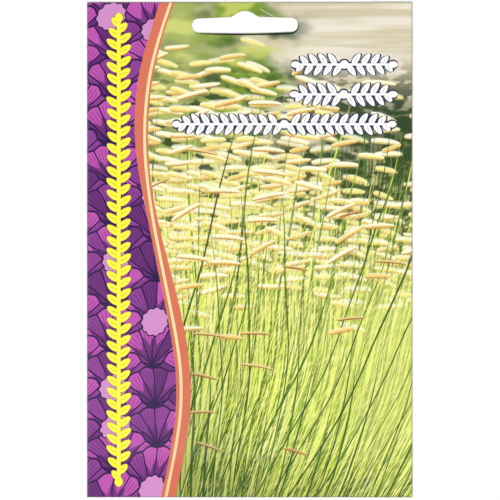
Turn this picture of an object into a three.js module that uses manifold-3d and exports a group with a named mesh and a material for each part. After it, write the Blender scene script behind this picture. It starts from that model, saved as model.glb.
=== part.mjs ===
// A paper seed packet lying on its back: one folded and glued sheet with a punched hanging slot,
// closed flat at both ends, with loose grass seeds in the pouch between front and back.
// Millimetres. +X to the right seen from the front, +Y towards the slot, +Z out of the front.
// The origin is under the middle of the packet, on the surface that it lies on.

import * as THREE from "three";
import { mergeVertices } from "three/addons/utils/BufferGeometryUtils.js";
import Module from "manifold-3d";

const wasm = await Module();
wasm.setup();

// Driving dimensions of the packet
const WIDTH = 98; // fold to fold
const HEIGHT = 149.2; // cut edge to cut edge
const PAPER = 0.16; // the coated sheet
const GLUE = 0.12; // a dried layer between two sheets
const FLAP_WIDTH = 12; // the glue flap inside the side seam
const SEAM_INSET = 1.5; // the back panel stops this far short of the right fold
const FLAP_GAP = 0.3; // between the flap's edge and the sheet that climbs over it
const RAMP_WIDTH = 2.2; // the front climbs over the flap in this width
const HEADER_HEIGHT = 24; // flat closed band with the slot
const FOOT_HEIGHT = 10; // flat closed band at the lower end
const BELLY = 2.4; // how far the front stands up over the seeds
const BELLY_SKEW = 0.8; // below 1, the seeds have slid towards the lower end

// Driving dimensions of the punched hanging slot, from its own centre
const SLOT = {
  x: -1.45, // the punch sits a little left of the middle
  fromTop: 6.95, // its centre below the packet's upper edge
  turn: THREE.MathUtils.degToRad(0.5),
  halfLength: 16,
  armX: 13.9, // where the round ends of the arms begin
  armTop: 2.1,
  armBottom: 2.15,
  bottomBow: 0.3,
  humpFoot: 4.4,
  shoulder: 2.45, // height of the arms beside the hump
  humpTop: 4.25,
  stroke: 4,
  curveSegments: 10,
};

// Driving dimensions of the seals
const TOP_SEAL_HEIGHT = 21;
const BOTTOM_SEAL_HEIGHT = 8;
const SEAL_INSET = 1; // adhesive stops short of cut edges and folds
const SEAM_GLUE_INSET = 3;

// Driving dimensions of one seed, a dry spikelet with its husk and awns
const SEED = {
  count: 26,
  bodyLength: 7.2,
  bodyRadius: 0.62,
  bodySides: 6,
  flatness: 0.85,
  huskLength: 4.6,
  huskRadius: 0.3,
  huskSides: 5,
  huskShift: 0.5,
  huskBack: 1,
  huskLean: 0.16,
  awnLength: 2.4,
  awnRadius: 0.13,
  awnSpread: 0.2,
  awnRoot: 2.6, // from the seed's middle
  clearance: 0.1, // over the paper
  spacing: 0.45, // between two seeds
  smallest: 0.86, // range of sizes
  largest: 1.08,
  mostRoll: 0.4,
};

// Where the seeds have gathered in the pouch
const DRIFT = { x: -3, y: -20, halfWidth: 34, halfHeight: 30, randomSeed: 20613 };

// Mesh steps
const FRONT_COLUMNS = 20;
const FLAP_COLUMNS = 3;
const POUCH_ROWS = 26;
const FOLD_STEPS = 4;

// Places that follow from the driving dimensions
const PITCH = PAPER + GLUE;
const FOLD_OUTER = PAPER + GLUE / 2;
const FOLD_INNER = GLUE / 2;
const RIGHT_FOLD = { x: WIDTH / 2 - FOLD_OUTER, z: PITCH + FOLD_OUTER };
const LEFT_FOLD = { x: FOLD_OUTER - WIDTH / 2, z: FOLD_OUTER };
const FLAP_EDGE = WIDTH / 2 - FLAP_WIDTH;
const SEAM_EDGE = WIDTH / 2 - SEAM_INSET;
const RAMP_TOP = FLAP_EDGE - FLAP_GAP;
const RAMP_FOOT = RAMP_TOP - RAMP_WIDTH;
const POUCH_BOTTOM = -HEIGHT / 2 + FOOT_HEIGHT;
const POUCH_TOP = HEIGHT / 2 - HEADER_HEIGHT;

// Evenly spaced values from one number to another, both included
function spaced(from, to, count) {
  return Array.from({ length: count + 1 }, (_, i) => from + ((to - from) * i) / count);
}

// Height of the front over the flat closed state, zero at the folds and at both closed ends
function belly(x, y) {
  const along = (y - POUCH_BOTTOM) / (POUCH_TOP - POUCH_BOTTOM);
  if (along <= 0 || along >= 1) {
    return 0;
  }
  const across = Math.cos((Math.PI * x) / (2 * RIGHT_FOLD.x));
  return BELLY * across * Math.sin(Math.PI * along ** BELLY_SKEW);
}

// Inner face of the front panel: one sheet and one glue layer up, and two of each over the flap
function frontInnerZ(x, y) {
  const climb = THREE.MathUtils.clamp((x - RAMP_FOOT) / (RAMP_TOP - RAMP_FOOT), 0, 1);
  return PITCH * (1 + climb) + belly(x, y);
}

// One place on the sheet's cross-section: [x, z] on its printed side and on its plain side
function level(x, printedZ, plainZ) {
  return { printed: [x, printedZ], plain: [x, plainZ] };
}

function foldStations(fold, from, to) {
  const angles = spaced(from, to, FOLD_STEPS).slice(1, -1);
  return angles.map((angle) => ({
    printed: [fold.x + FOLD_OUTER * Math.cos(angle), fold.z + FOLD_OUTER * Math.sin(angle)],
    plain: [fold.x + FOLD_INNER * Math.cos(angle), fold.z + FOLD_INNER * Math.sin(angle)],
  }));
}

// The sheet's cross-section at one height, from the flap's edge round both folds to the seam's edge
function sectionAt(y) {
  const overFlap = spaced(RIGHT_FOLD.x, RAMP_TOP, FLAP_COLUMNS);
  const overPouch = spaced(RAMP_FOOT, LEFT_FOLD.x, FRONT_COLUMNS);
  const front = [...overFlap, ...overPouch].map((x) => {
    const z = frontInnerZ(x, y);
    return level(x, z + PAPER, z);
  });
  return [
    level(FLAP_EDGE, PITCH, PITCH + PAPER),
    level(RIGHT_FOLD.x, PITCH, PITCH + PAPER),
    ...foldStations(RIGHT_FOLD, -Math.PI / 2, Math.PI / 2),
    ...front,
    ...foldStations(LEFT_FOLD, Math.PI / 2, (3 * Math.PI) / 2),
    level(LEFT_FOLD.x, 0, PAPER),
    level(SEAM_EDGE, 0, PAPER),
  ];
}

// Closed geometry of the folded sheet: printed side, plain side and the four cut edges
function sheetGeometry() {
  const rows = [-HEIGHT / 2, ...spaced(POUCH_BOTTOM, POUCH_TOP, POUCH_ROWS), HEIGHT / 2];
  const sections = rows.map(sectionAt);
  const lastStation = sections[0].length - 1;
  const lastRow = rows.length - 1;
  const positions = [];
  for (const side of ["printed", "plain"]) {
    sections.forEach((section, row) => {
      section.forEach((station) => positions.push(station[side][0], rows[row], station[side][1]));
    });
  }
  const printed = (station, row) => row * (lastStation + 1) + station;
  const plain = (station, row) => (lastRow + 1) * (lastStation + 1) + printed(station, row);
  const faces = [];
  const quad = (a, b, c, d) => faces.push(a, b, c, a, c, d);
  for (let row = 0; row < lastRow; row++) {
    for (let i = 0; i < lastStation; i++) {
      quad(printed(i, row), printed(i, row + 1), printed(i + 1, row + 1), printed(i + 1, row));
      quad(plain(i, row), plain(i + 1, row), plain(i + 1, row + 1), plain(i, row + 1));
    }
    quad(printed(0, row), plain(0, row), plain(0, row + 1), printed(0, row + 1));
    quad(
      printed(lastStation, row),
      printed(lastStation, row + 1),
      plain(lastStation, row + 1),
      plain(lastStation, row),
    );
  }
  for (let i = 0; i < lastStation; i++) {
    quad(printed(i, 0), printed(i + 1, 0), plain(i + 1, 0), plain(i, 0));
    quad(printed(i, lastRow), plain(i, lastRow), plain(i + 1, lastRow), printed(i + 1, lastRow));
  }
  const geometry = new THREE.BufferGeometry();
  geometry.setAttribute("position", new THREE.Float32BufferAttribute(positions, 3));
  geometry.setIndex(faces);
  return geometry;
}

// A closed geometry as a solid that can be joined and cut
function toSolid(geometry) {
  const bare = new THREE.BufferGeometry();
  bare.setAttribute("position", geometry.getAttribute("position"));
  bare.setIndex(geometry.getIndex());
  const merged = mergeVertices(bare, 1e-5);
  return new wasm.Manifold(
    new wasm.Mesh({
      numProp: 3,
      vertProperties: merged.getAttribute("position").array,
      triVerts: new Uint32Array(merged.getIndex().array),
    }),
  );
}

function toGeometry(solid) {
  const { vertProperties, triVerts } = solid.getMesh();
  const geometry = new THREE.BufferGeometry();
  geometry.setAttribute("position", new THREE.BufferAttribute(vertProperties, 3));
  geometry.setIndex(new THREE.BufferAttribute(triVerts, 1));
  geometry.computeVertexNormals();
  return geometry;
}

// The hanging slot: two round-ended arms, a slightly bowed lower edge and a low hump for the peg
function slotShape() {
  const { halfLength, armX, armTop, armBottom, bottomBow, humpFoot, shoulder, humpTop } = SLOT;
  const endPull = armX + ((halfLength - armX) * 4) / 3;
  const humpSide = { x: humpFoot * 0.72, y: shoulder + (humpTop - shoulder) * 0.15 };
  const humpRound = humpFoot * 0.52;
  const shape = new THREE.Shape();
  shape.moveTo(-armX, -armBottom);
  shape.quadraticCurveTo(0, -armBottom - 2 * bottomBow, armX, -armBottom);
  shape.bezierCurveTo(endPull, -armBottom, endPull, armTop, armX, armTop);
  shape.lineTo(humpFoot, shoulder);
  shape.bezierCurveTo(humpSide.x, humpSide.y, humpRound, humpTop, 0, humpTop);
  shape.bezierCurveTo(-humpRound, humpTop, -humpSide.x, humpSide.y, -humpFoot, shoulder);
  shape.lineTo(-armX, armTop);
  shape.bezierCurveTo(-endPull, armTop, -endPull, -armBottom, -armX, -armBottom);
  return shape;
}

function slotPunch() {
  const punch = new THREE.ExtrudeGeometry(slotShape(), {
    depth: SLOT.stroke,
    bevelEnabled: false,
    curveSegments: SLOT.curveSegments,
  });
  punch.rotateZ(SLOT.turn);
  punch.translate(SLOT.x, HEIGHT / 2 - SLOT.fromTop, -SLOT.stroke / 2);
  return toSolid(punch);
}

// A bar along Y whose section is given by its corners as [x, z]
function barAlongY(section, fromY, toY) {
  const shape = new THREE.Shape(section.map(([x, z]) => new THREE.Vector2(x, z)));
  const bar = new THREE.ExtrudeGeometry(shape, { depth: toY - fromY, bevelEnabled: false });
  bar.rotateX(Math.PI / 2);
  bar.translate(0, toY, 0);
  return bar;
}

// An end seal fills the space between back and front and steps up over the flap
function sealSection() {
  const left = LEFT_FOLD.x + SEAL_INSET;
  const right = RIGHT_FOLD.x - SEAL_INSET;
  return [
    [left, PAPER],
    [RAMP_TOP, PAPER],
    [RAMP_TOP, PITCH + PAPER],
    [right, PITCH + PAPER],
    [right, 2 * PITCH],
    [RAMP_TOP, 2 * PITCH],
    [RAMP_FOOT, PITCH],
    [left, PITCH],
  ];
}

function seamGlueSection() {
  const left = FLAP_EDGE + SEAL_INSET;
  const right = SEAM_EDGE - SEAL_INSET;
  return [
    [left, PAPER],
    [right, PAPER],
    [right, PITCH],
    [left, PITCH],
  ];
}

// A body of revolution along X, pointed at both ends and thickest before its middle
function spindle(length, radius, sides) {
  const outline = [
    [0, 0],
    [0.1, 0.62],
    [0.4, 1],
    [0.78, 0.6],
    [1, 0],
  ];
  const profile = outline.map(([along, girth]) => new THREE.Vector2(girth * radius, along * length));
  const geometry = new THREE.LatheGeometry(profile, sides);
  return geometry.rotateZ(-Math.PI / 2).translate(-length / 2, 0, 0);
}

function awn(turn) {
  const bristle = new THREE.ConeGeometry(SEED.awnRadius, SEED.awnLength, 3).rotateZ(-Math.PI / 2);
  return bristle.translate(SEED.awnLength / 2, 0, 0).rotateZ(turn).translate(SEED.awnRoot, 0, 0);
}

// One seed: a flattened body, a narrow husk along its side and three awns at its tip
function seedGeometry() {
  const body = spindle(SEED.bodyLength, SEED.bodyRadius, SEED.bodySides).scale(1, 1, SEED.flatness);
  const husk = spindle(SEED.huskLength, SEED.huskRadius, SEED.huskSides);
  husk.rotateZ(SEED.huskLean).translate(-SEED.huskBack, SEED.huskShift, 0);
  const awns = [-SEED.awnSpread, 0, SEED.awnSpread].map(awn);
  const joined = [husk, ...awns].reduce((sum, piece) => sum.add(toSolid(piece)), toSolid(body));
  return toGeometry(joined);
}

// Repeatable random numbers from 0 to 1
function randomFrom(seed) {
  let state = seed;
  return () => {
    state = (Math.imul(state, 1664525) + 1013904223) >>> 0;
    return state / 2 ** 32;
  };
}

// Points along a seed's middle line and out to its awns
function spineOf({ x, y, yaw, size }) {
  const half = (SEED.bodyLength / 2) * size;
  return spaced(-1, 1.4, 6).map((part) => [
    x + Math.cos(yaw) * half * part,
    y + Math.sin(yaw) * half * part,
  ]);
}

// Whether a seed fits under the front and clear of those already placed
function hasRoom(candidate, placed) {
  const spine = spineOf(candidate);
  const tall = 2 * SEED.bodyRadius * candidate.size + SEED.clearance + SEED.spacing;
  const apart = 2 * (SEED.bodyRadius + SEED.huskRadius / 2) + SEED.spacing;
  const underFront = spine.every(([x, y]) => frontInnerZ(x, y) - PAPER > tall);
  const clearOf = (other) =>
    spineOf(other).every(([ox, oy]) => spine.every(([x, y]) => Math.hypot(x - ox, y - oy) > apart));
  return underFront && placed.every(clearOf);
}

function seedPlaces() {
  const random = randomFrom(DRIFT.randomSeed);
  const placed = [];
  while (placed.length < SEED.count) {
    const bearing = random() * 2 * Math.PI;
    const out = Math.sqrt(random());
    const candidate = {
      x: DRIFT.x + DRIFT.halfWidth * out * Math.cos(bearing),
      y: DRIFT.y + DRIFT.halfHeight * out * Math.sin(bearing),
      yaw: random() * 2 * Math.PI,
      roll: (2 * random() - 1) * SEED.mostRoll,
      size: THREE.MathUtils.lerp(SEED.smallest, SEED.largest, random()),
    };
    if (hasRoom(candidate, placed)) {
      placed.push(candidate);
    }
  }
  return placed;
}

// Materials
const printedPaper = new THREE.MeshStandardMaterial({ color: 0xb9c268, roughness: 0.35 });
const driedGlue = new THREE.MeshStandardMaterial({ color: 0xe9e4d2, roughness: 0.5 });
const straw = new THREE.MeshStandardMaterial({ color: 0xc9a868, roughness: 0.8 });

const packet = new THREE.Group();

function addPiece(name, geometry, material) {
  const mesh = new THREE.Mesh(geometry, material);
  mesh.name = name;
  packet.add(mesh);
  return mesh;
}

// The folded sheet, with the slot punched through its front and its back
const punch = slotPunch();
addPiece("paper_sheet", toGeometry(toSolid(sheetGeometry()).subtract(punch)), printedPaper);

// The adhesive layers
const upperEdge = HEIGHT / 2 - SEAL_INSET;
const topSeal = barAlongY(sealSection(), upperEdge - TOP_SEAL_HEIGHT, upperEdge);
addPiece("top_seal", toGeometry(toSolid(topSeal).subtract(punch)), driedGlue);

const lowerEdge = -HEIGHT / 2 + SEAL_INSET;
addPiece("bottom_seal", barAlongY(sealSection(), lowerEdge, lowerEdge + BOTTOM_SEAL_HEIGHT), driedGlue);

const seamEnd = HEIGHT / 2 - SEAM_GLUE_INSET;
addPiece("seam_glue", barAlongY(seamGlueSection(), -seamEnd, seamEnd), driedGlue);

// Loose seeds on the inner face of the back
const seedShape = seedGeometry();
seedPlaces().forEach((place, index) => {
  const seed = addPiece(`seed_${String(index + 1).padStart(2, "0")}`, seedShape.clone(), straw);
  seed.scale.setScalar(place.size);
  seed.rotation.set(place.roll, 0, place.yaw, "ZYX");
  seed.position.set(place.x, place.y, 0);
  seed.updateMatrixWorld(true);
  const lowest = new THREE.Box3().setFromObject(seed, true).min.z;
  seed.position.z = PAPER + SEED.clearance - lowest;
});

export default packet;
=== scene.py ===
"""A paper seed packet lying on its back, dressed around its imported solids.

Metres, with +Z out of the front and +Y towards the hanging slot. The print is worked out in
millimetres on the sheet's own X and Y.
"""

import math
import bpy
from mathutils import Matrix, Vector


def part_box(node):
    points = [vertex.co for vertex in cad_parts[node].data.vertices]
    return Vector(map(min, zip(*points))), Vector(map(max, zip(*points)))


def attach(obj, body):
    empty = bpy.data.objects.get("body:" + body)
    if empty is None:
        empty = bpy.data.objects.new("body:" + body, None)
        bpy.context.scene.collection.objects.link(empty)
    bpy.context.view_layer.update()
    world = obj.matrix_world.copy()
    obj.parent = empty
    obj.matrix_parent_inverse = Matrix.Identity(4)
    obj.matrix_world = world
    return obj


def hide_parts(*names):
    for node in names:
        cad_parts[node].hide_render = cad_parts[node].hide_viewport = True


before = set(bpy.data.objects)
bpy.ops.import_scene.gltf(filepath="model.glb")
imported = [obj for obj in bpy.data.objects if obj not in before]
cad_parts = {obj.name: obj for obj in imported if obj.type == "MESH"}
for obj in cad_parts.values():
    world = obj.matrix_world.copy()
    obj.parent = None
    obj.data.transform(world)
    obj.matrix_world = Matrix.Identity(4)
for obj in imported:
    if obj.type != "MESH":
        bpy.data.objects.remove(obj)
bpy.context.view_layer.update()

from types import SimpleNamespace

import bmesh
import bpy
import numpy as np
from mathutils import Vector

MM = 0.001
FULL_TURN = 2 * math.pi

bl_info = {
    "name": "Seed packet",
    "version": (1, 0, 0),
    "blender": (4, 5, 0),
    "location": "View3D > Sidebar > Packet",
    "description": "Makes a printed paper seed packet with its glue and seeds, on a plain stage",
    "category": "Mesh",
}

# Material slots of the sheet, in order
FRONT, BACK, INSIDE, CUT = range(4)


def screen(red, green, blue):
    """Screen colour from 0 to 255 as the linear colour that shaders take."""
    shares = [channel / 255 for channel in (red, green, blue)]
    return tuple(s / 12.92 if s <= 0.04045 else ((s + 0.055) / 1.055) ** 2.4 for s in shares)


# Settings


def number(name, description, default, **limits):
    return bpy.props.FloatProperty(name=name, description=description, default=default, **limits)


def length(name, description, millimetres):
    return number(name, description, millimetres * MM, min=0, precision=5, unit="LENGTH")


def colour(name, description, red, green, blue):
    return bpy.props.FloatVectorProperty(
        name=name, description=description, default=screen(red, green, blue), size=3, min=0, max=1,
        subtype="COLOR",
    )


class PacketSheetSizes(bpy.types.PropertyGroup):
    """Sizes of the folded sheet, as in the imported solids, and of its finer mesh"""

    paper: length("Paper", "Thickness of the coated sheet", 0.16)
    glue: length("Glue", "Dried layer between two sheets", 0.12)
    flap_width: length("Flap", "Width of the glue flap inside the side seam", 12)
    seam_inset: length("Seam inset", "The back stops this far short of the right fold", 1.5)
    flap_gap: length("Flap gap", "From the flap's edge to the sheet that climbs over it", 0.3)
    ramp_width: length("Ramp", "Width in which the front climbs over the flap", 2.2)
    header_height: length("Header", "Flat closed band with the slot", 24)
    foot_height: length("Foot", "Flat closed band at the lower end", 10)
    belly: length("Belly", "How far the front stands up over the seeds", 2.28)
    belly_skew: number("Belly skew", "Below 1, the seeds lie towards the lower end", 0.8, min=0.3, max=2)
    crease_width: length("Crease", "Length over which the pouch leaves the closed bands", 3.2)
    dent_height: length("Dents", "Height of the soft dents in the front", 0.14)
    cell: length("Cell", "Side of one mesh cell on the front", 0.8)
    fold_steps: bpy.props.IntProperty(
        name="Fold steps", description="Faces round one fold", default=8, min=4, max=24
    )


class PacketSlotSizes(bpy.types.PropertyGroup):
    """Sizes of the punched hanging slot, from its own centre"""

    from_middle: length("From middle", "How far the punch sits left of the middle", 1.45)
    from_top: length("From top", "Its centre below the packet's upper edge", 6.95)
    turn: number("Turn", "The punch's slight turn", math.radians(0.5), subtype="ANGLE")
    half_length: length("Half length", "From its centre to either end", 16)
    arm_x: length("Arm", "Where the round ends of the arms begin", 13.9)
    arm_top: length("Arm top", "Height of the arms' upper edge at their ends", 2.1)
    arm_bottom: length("Arm bottom", "Depth of the arms' lower edge at their ends", 2.15)
    bottom_bow: length("Bow", "How far the lower edge bows down in the middle", 0.3)
    hump_foot: length("Hump foot", "Half width of the hump", 4.4)
    shoulder: length("Shoulder", "Height of the arms beside the hump", 2.45)
    hump_top: length("Hump top", "Height of the hump", 4.25)


class PacketSeedSizes(bpy.types.PropertyGroup):
    """Sizes of one dry spikelet"""

    body_length: length("Body", "Length of the body without its awns", 7.2)
    body_radius: length("Radius", "Half width of the body", 0.6)
    flatness: number("Flatness", "Thickness over width", 0.84, min=0.2, max=1)
    husk_length: length("Husk", "Length of the narrow husk beside the body", 4.6)
    husk_radius: length("Husk radius", "Half width of the husk", 0.29)
    awn_length: length("Awn", "Length of the middle awn", 2.4)
    awn_radius: length("Awn radius", "Half width of an awn at its root", 0.12)


class PacketPrintColours(bpy.types.PropertyGroup):
    """Inks of the front"""

    stripe: colour("Stripe", "Coral of the waved stripe", 223, 118, 90)
    stripe_core: colour("Stripe core", "Cream line inside the stripe", 255, 227, 172)
    rib_light: colour("Light rib", "Magenta of the fans", 193, 84, 178)
    rib_mid: colour("Middle rib", "Violet of the fans", 142, 60, 148)
    rib_dark: colour("Dark rib", "Deep violet of the fans", 108, 40, 120)
    outline: colour("Outline", "Dark line round each petal", 40, 4, 72)
    disc: colour("Disc", "Lilac of the fans' middles", 212, 144, 203)
    garland: colour("Garland", "Yellow of the upright garland", 255, 250, 62)
    sprig: colour("Sprig", "White of the lying sprigs", 255, 255, 255)
    sprig_line: colour("Sprig line", "Navy round the lying sprigs", 30, 38, 78)


class PacketStageSettings(bpy.types.PropertyGroup):
    """Camera and light"""

    view_width: length("View width", "Width of the picture at the packet's edges", 150.6)
    view_x: number("View X", "Middle of the view", 0.08 * MM, unit="LENGTH")
    view_y: number("View Y", "Middle of the view", -0.09 * MM, unit="LENGTH")
    lens: number("Lens", "Focal length in millimetres", 200, min=20)
    sky: number("Sky", "Brightness of the even light", 0.52, min=0)
    key: number("Key", "Power of the lamp at the lower left", 18.5, unit="POWER")
    back: number("Back", "Power of the lamp at the upper right", 6.5, unit="POWER")
    fill: number("Fill", "Power of the lamp at the lower right", 5.0, unit="POWER")
    fill_left: number("Left fill", "Power of the lamp at the upper left", 2.5, unit="POWER")
    lamp_distance: length("Lamp distance", "From the packet to each lamp", 2000)
    lamp_size: length("Lamp size", "Side of each lamp", 700)


# Nodes and sums of them

NODES_IN_ROW = 14


def add_node(tree, kind, **settings):
    """A new node of that kind, set out in rows in the editor."""
    row, column = divmod(len(tree.nodes), NODES_IN_ROW)
    node = tree.nodes.new(kind)
    node.location = (column * 190, row * -220)
    for name, value in settings.items():
        setattr(node, name, value)
    return node


def feed(tree, socket, value):
    """Links an amount to a socket, or sets a plain value on it."""
    if isinstance(value, Amount):
        tree.links.new(value.socket, socket)
    elif socket.type == "RGBA":
        socket.default_value = (*value, 1)
    else:
        socket.default_value = value


def result_of(tree, kind, inputs, output=0, **settings):
    """Adds a node, feeds its inputs by name or number, and gives one of its outputs."""
    node = add_node(tree, kind, **settings)
    for key, value in inputs.items():
        feed(tree, node.inputs[key], value)
    return Amount(tree, node.outputs[output])


def math_node(kind, swapped=False):
    """A function that adds a Math node of that kind to the tree of its operands."""

    def add(*operands):
        tree = next(operand.tree for operand in operands if isinstance(operand, Amount))
        inputs = dict(enumerate(reversed(operands) if swapped else operands))
        return result_of(tree, "ShaderNodeMath", inputs, operation=kind)

    return add


class Amount:
    """An output of a node in a tree. Sums of numbers that vary over a surface become Math nodes."""

    def __init__(self, tree, socket):
        self.tree = tree
        self.socket = socket

    def __neg__(self):
        return self * -1

    __add__ = math_node("ADD")
    __radd__ = math_node("ADD", swapped=True)
    __sub__ = math_node("SUBTRACT")
    __rsub__ = math_node("SUBTRACT", swapped=True)
    __mul__ = math_node("MULTIPLY")
    __rmul__ = math_node("MULTIPLY", swapped=True)
    __truediv__ = math_node("DIVIDE")
    __abs__ = math_node("ABSOLUTE")


floor = math_node("FLOOR")
fraction = math_node("FRACT")
remainder = math_node("FLOORED_MODULO")
zigzag = math_node("PINGPONG")
least = math_node("MINIMUM")
most = math_node("MAXIMUM")
is_less = math_node("LESS_THAN")
is_more = math_node("GREATER_THAN")
power = math_node("POWER")
square_root = math_node("SQRT")
sine = math_node("SINE")
cosine = math_node("COSINE")
arctangent = math_node("ARCTAN2")


def hypotenuse(a, b):
    return square_root(a * a + b * b)


def rises(a, start, end, low=0, high=1):
    """From low at start to high at end, smoothly, and level beyond them."""
    inputs = dict(enumerate((a, start, end, low, high)))
    return result_of(a.tree, "ShaderNodeMapRange", inputs, interpolation_type="SMOOTHSTEP", clamp=False)


def point(tree, x, y, z=0):
    return result_of(tree, "ShaderNodeCombineXYZ", {0: x, 1: y, 2: z})


def split(amount, kind="ShaderNodeSeparateXYZ"):
    """The three parts of a vector or colour."""
    node = add_node(amount.tree, kind)
    feed(amount.tree, node.inputs[0], amount)
    return [Amount(amount.tree, output) for output in node.outputs]


def noise(x, y, size_x, size_y, detail=2.0, shift=0.0, roughness=0.5):
    """Cloudy noise from 0 to 1 whose spots are about size_x by size_y."""
    place = point(x.tree, x / size_x + shift, y / size_y)
    inputs = {"Vector": place, "Scale": 1, "Detail": detail, "Roughness": roughness}
    return result_of(x.tree, "ShaderNodeTexNoise", inputs, "Fac", noise_dimensions="2D")


def draws(x, y, seed):
    """Three random numbers for each whole x and y."""
    inputs = {"Vector": point(x.tree, x, y, seed)}
    drawn = result_of(x.tree, "ShaderNodeTexWhiteNoise", inputs, "Color", noise_dimensions="3D")
    return split(drawn, "ShaderNodeSeparateColor")


def blend(share, under, over):
    """The under colour, with share of the over colour on it."""
    return result_of(share.tree, "ShaderNodeMix", {0: share, 6: under, 7: over}, 2, data_type="RGBA")


def laid(ink, layers):
    """The colour of an ink under layers, each of which is its share and its own ink, lowest first."""
    for share, over in layers:
        ink = blend(share, ink, over)
    return ink


# Shared effects of the print, each a node group

EFFECTS = []


def effect(*outputs, **inputs):
    """Lists the function below it as an effect, with its outputs' names and its inputs' defaults."""

    def listed(work_out):
        EFFECTS.append((work_out, outputs, inputs))
        return work_out

    return listed


def label(name):
    return name.replace("_", " ").capitalize()


def make_shared_effects():
    """Makes each listed function a node group, which gives numbers or a colour."""
    for work_out, outputs, inputs in EFFECTS:
        tree = bpy.data.node_groups.new(label(work_out.__name__), "ShaderNodeTree")
        new_socket = tree.interface.new_socket
        for name, default in inputs.items():
            socket = new_socket(name=label(name), in_out="INPUT", socket_type="NodeSocketFloat")
            socket.default_value = default
        for name in outputs:
            kind = "NodeSocketColor" if name == "colour" else "NodeSocketFloat"
            new_socket(name=label(name), in_out="OUTPUT", socket_type=kind)
        entry = add_node(tree, "NodeGroupInput")
        given = {name: Amount(tree, entry.outputs[label(name)]) for name in inputs}
        results = work_out(SimpleNamespace(**given))
        end = add_node(tree, "NodeGroupOutput")
        for socket, amount in zip(end.inputs, results):
            feed(tree, socket, amount)


def use(work_out, **values):
    """Places an effect's group and gives its outputs by name."""
    tree = next(value.tree for value in values.values() if isinstance(value, Amount))
    node = add_node(tree, "ShaderNodeGroup", node_tree=bpy.data.node_groups[label(work_out.__name__)])
    for name, value in values.items():
        feed(tree, node.inputs[label(name)], value)
    return SimpleNamespace(**{o.name.replace(" ", "_").lower(): Amount(tree, o) for o in node.outputs})


@effect(
    "mask", "tone", "light", across=0, up=0, cell_width=9, cell_height=6, length=6.5, thickness=1.2,
    tilt=-0.1, spread=0.5, droop=0.012, softness=0.1, share=0.7, lowest=-40, highest=60, fall=0.3,
    clearing=0.75, bristle=0, seed=0,
)
def ears_of_grain(g):
    """Nodding ears of grain, one to a cell: where they are, a draw for each, and how lit."""
    shift = g.seed * 0.37
    column_place = g.across / g.cell_width + shift
    column = floor(column_place)
    start = draws(column, g.seed, 7.3)[0]
    row_place = g.up / g.cell_height + start
    row = floor(row_place)
    middle_up = (row + 0.5 - start) * g.cell_height
    share = g.share * rises(middle_up, g.lowest - 14, g.lowest + 14)
    middle_across = (column + 0.5 - shift) * g.cell_width
    share = share * rises(middle_up + middle_across * g.fall, g.highest - 10, g.highest + 10, 1, 0)
    clearing = rises(middle_across, 16, 36) * rises(abs(middle_up - 30), 22, 12)
    share = share * (1 - clearing * g.clearing)
    first, second, third = draws(column, row, g.seed)
    present = is_less(fraction(first * 13.7 + third * 5.1), share)

    x = (fraction(column_place) - 0.5 - (first - 0.5) * 0.25) * g.cell_width
    y = (fraction(row_place) - 0.5 - (second - 0.5) * 0.35) * g.cell_height
    angle = g.tilt + (third - 0.5) * g.spread
    turn_cos, turn_sin = cosine(angle), sine(angle)
    along = x * turn_cos + y * turn_sin
    off = y * turn_cos - x * turn_sin + along * along * g.droop
    part = along / (g.length * (0.8 + second * 0.35))
    girth = power(most(1 - part * part * 4, 0), 0.27)
    half = g.thickness * 0.5 * girth * (1 - part * 0.24)
    edge = half - abs(off)
    body = rises(edge, -g.softness * 0.5, g.softness * 1.5) * rises(girth, 0.02, 0.2)
    comb = zigzag(along - abs(off) * 1.6, 0.36)
    awns = rises(comb, 0.05, 0.13, 1, 0) * rises(edge, -0.9, -0.1) * g.bristle
    mask = most(body, awns * rises(abs(part), 0.5, 0.42)) * present
    kernels = rises(zigzag(along + abs(off) * 0.9, 0.38), 0.0, 0.26)
    light = 0.5 + (off / most(half, 0.05)) * 0.5
    light = light - (1 - kernels) * rises(g.softness, 0.5, 0.1, 0, 0.12)
    light = light + (noise(along, off, 0.55, 0.32, 2.0, g.seed * 5.3) - 0.5) * 0.45
    return mask, second, light


@effect(
    "mask", "tone", across=0, up=0, pitch=3, thickness=0.3, lean=0, sway=0.9, lowest_top=0,
    highest_top=60, share=1, softness=0.08, seed=0,
)
def stalks(g):
    """Thin upright stalks, one to a column, each ending at its own height."""
    bend = sine(g.up / 47 + g.across / 37 + g.seed * 2.1) * g.sway
    place = (g.across + g.up * g.lean + bend) / g.pitch + g.seed * 0.61
    first, second, third = draws(floor(place), g.seed, 3.7)
    own_lean = (second - 0.5) * (g.up / 150) * 0.9
    off = (fraction(place) - 0.5 - (first - 0.5) * 0.5 - own_lean) * g.pitch
    top = g.lowest_top + (g.highest_top - g.lowest_top) * third
    taper = rises(top - g.up, 0, 34)
    half = g.thickness * 0.5 * taper * (0.55 + second * 0.8)
    present = is_less(fraction(first * 9.1 + third * 3.3), g.share)
    mask = rises(half - abs(off), -g.softness, g.softness) * present * rises(taper, 0.01, 0.2)
    return mask, first


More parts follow.
